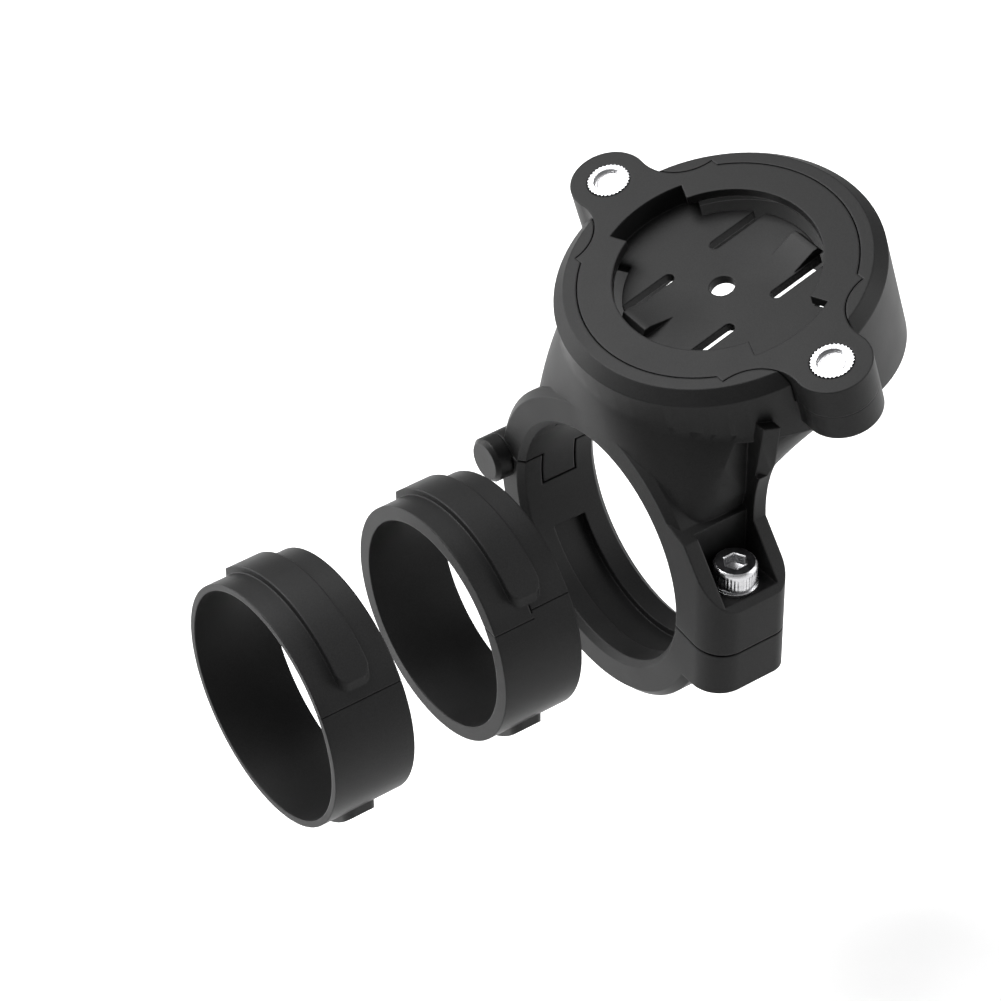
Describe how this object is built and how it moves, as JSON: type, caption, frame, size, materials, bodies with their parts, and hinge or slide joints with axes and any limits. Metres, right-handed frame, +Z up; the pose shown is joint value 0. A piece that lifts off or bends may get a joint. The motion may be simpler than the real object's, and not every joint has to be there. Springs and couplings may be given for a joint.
{
  "type": "cycling computer handlebar mount",
  "caption": "Hinged tube clamp with a tilted quarter-turn socket on a concave neck, a socket-head clamp bolt and split reducing sleeves.",
  "frame": {"origin": "centre of the clamp bore, half way across its width", "axes": "+Y along the tube away from the loose sleeves, +Z up the neck towards the socket, +X towards the clamp bolt"},
  "size_m": [0.0538, 0.0918, 0.0611],
  "materials": {
    "body_plastic": "fine-textured matte black moulding",
    "puck_plastic": "fine-textured matte black moulding",
    "sleeve_plastic": "fine-textured matte black moulding",
    "insert_metal": "bright knurled metal",
    "screw_metal": "satin light grey metal",
    "bolt_metal": "bright stainless, knurled round the head",
    "pin_black": "satin black"
  },
  "bodies": {
    "arm": {"arm_body": "body_plastic", "quarter_turn_puck": "puck_plastic", "insert_left": "insert_metal", "insert_right": "insert_metal", "puck_screw_left": "screw_metal", "puck_screw_right": "screw_metal", "hinge_pin": "pin_black"},
    "jaw": {"clamp_jaw": "body_plastic", "clamp_nut": "screw_metal"},
    "washer": {"clamp_washer": "bolt_metal"},
    "bolt": {"clamp_bolt": "bolt_metal"},
    "thick": {"thick_sleeve": "sleeve_plastic"},
    "thin": {"thin_sleeve": "sleeve_plastic"}
  },
  "joints": [
    {"name": "jaw_hinge", "type": "hinge", "parent": "arm", "child": "jaw", "pos_m": [-0.0202, 0, 0.001], "axis": [0, 1, 0], "range_deg": [0, 95]},
    {"name": "clamp_bolt_lift", "type": "slide", "parent": "arm", "child": "washer", "axis": [0, 0, 1], "range_m": [0, 0.0182]},
    {"name": "clamp_bolt_turn", "type": "hinge", "parent": "washer", "child": "bolt", "pos_m": [0.0203, 0, 0.0059], "axis": [0, 0, 1], "continuous": true},
    {"name": "thick_sleeve_slide", "type": "slide", "parent": "arm", "child": "thick", "axis": [0, 1, 0], "range_m": [-0.01, 0.0124]},
    {"name": "thin_sleeve_slide", "type": "slide", "parent": "thick", "child": "thin", "axis": [0, 1, 0], "range_m": [-0.01, 0.012]}
  ],
  "couplings": [
    {"joint": "clamp_bolt_lift", "follows": "jaw_hinge", "m_per_rad": 0.0109}
  ]
}
